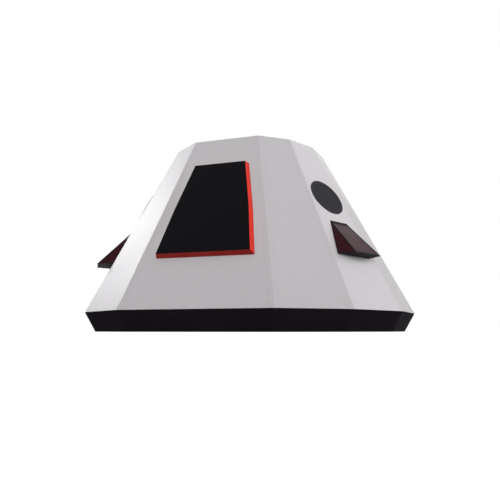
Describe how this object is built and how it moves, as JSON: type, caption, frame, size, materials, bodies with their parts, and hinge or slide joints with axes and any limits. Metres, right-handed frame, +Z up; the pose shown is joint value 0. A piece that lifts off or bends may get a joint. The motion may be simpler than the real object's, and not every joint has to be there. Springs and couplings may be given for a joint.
{
  "type": "space capsule",
  "caption": "Faceted white crew capsule on a black skirt, with a raised red-edged side hatch, portholes, wedge pods and a docking ring with a hinged lid.",
  "frame": {"origin": "centre of the flat underside, on the hull's axis, at floor level", "axes": "+Z up along the hull's axis, -Y out through the side hatch, +X to the right of someone who faces the hatch"},
  "size_m": [4, 3.8478, 2.4303],
  "materials": {
    "hull_paint": "satin pale grey-white paint on flat panels",
    "skirt_black": "semi-gloss black paint",
    "shield_grey": "matt grey ablative composite",
    "deck_grey": "satin grey paint",
    "hinge_paint": "satin pale grey-white paint",
    "hatch_red": "satin bright red paint",
    "hatch_black": "glossy black face sheet",
    "liner_grey": "satin light grey paint",
    "handle_steel": "brushed",
    "ring_aluminium": "machined and anodised",
    "lid_paint": "satin pale grey paint",
    "trim_black": "satin black paint",
    "dark_glass": "dark grey tinted glass",
    "smoked_glass": "smoked dark red glass",
    "couch_paint": "satin grey paint",
    "couch_fabric": "woven dark grey cloth",
    "console_plastic": "grained dark grey plastic",
    "screen_glass": "black screen glass"
  },
  "bodies": {
    "capsule": {"heat_shield": "shield_grey", "base_skirt": "skirt_black", "floor_deck": "deck_grey", "hull_front": "hull_paint", "hull_right_1": "hull_paint", "hull_right_2": "hull_paint", "hull_right_3": "hull_paint", "hull_right_4": "hull_paint", "hull_right_5": "hull_paint", "hull_right_6": "hull_paint", "hull_right_7": "hull_paint", "hull_left_7": "hull_paint", "hull_left_6": "hull_paint", "hull_left_5": "hull_paint", "hull_left_4": "hull_paint", "hull_left_3": "hull_paint", "hull_left_2": "hull_paint", "hull_left_1": "hull_paint", "porthole_frame_right": "trim_black", "porthole_pane_right": "dark_glass", "pod_frame_right": "trim_black", "pod_panes_right": "smoked_glass", "couch_frame_right": "couch_paint", "couch_cushions_right": "couch_fabric", "porthole_frame_left": "trim_black", "porthole_pane_left": "dark_glass", "pod_frame_left": "trim_black", "pod_panes_left": "smoked_glass", "couch_frame_left": "couch_paint", "couch_cushions_left": "couch_fabric", "console": "console_plastic", "console_screens": "screen_glass", "top_deck": "deck_grey", "docking_ring": "ring_aluminium", "docking_hinge_bracket": "ring_aluminium", "hatch_hinge_brackets": "hinge_paint"},
    "side_hatch": {"hatch_frame": "hatch_red", "hatch_face": "hatch_black", "hatch_plug": "liner_grey", "hatch_handle": "handle_steel", "hatch_hinge_arms": "hinge_paint"},
    "docking_hatch": {"docking_lid": "lid_paint", "docking_lid_arm": "ring_aluminium", "docking_lid_handle": "handle_steel"}
  },
  "joints": [
    {"name": "side_hatch_hinge", "type": "hinge", "parent": "capsule", "child": "side_hatch", "pos_m": [-0.48604, -1.65515, 0.7348], "axis": [-0.1655, -0.4178, -0.8933], "range_deg": [0, 110]},
    {"name": "docking_lid_hinge", "type": "hinge", "parent": "capsule", "child": "docking_hatch", "pos_m": [0, 0.494, 2.3153], "axis": [-1, 0, 0], "range_deg": [0, 100]}
  ]
}
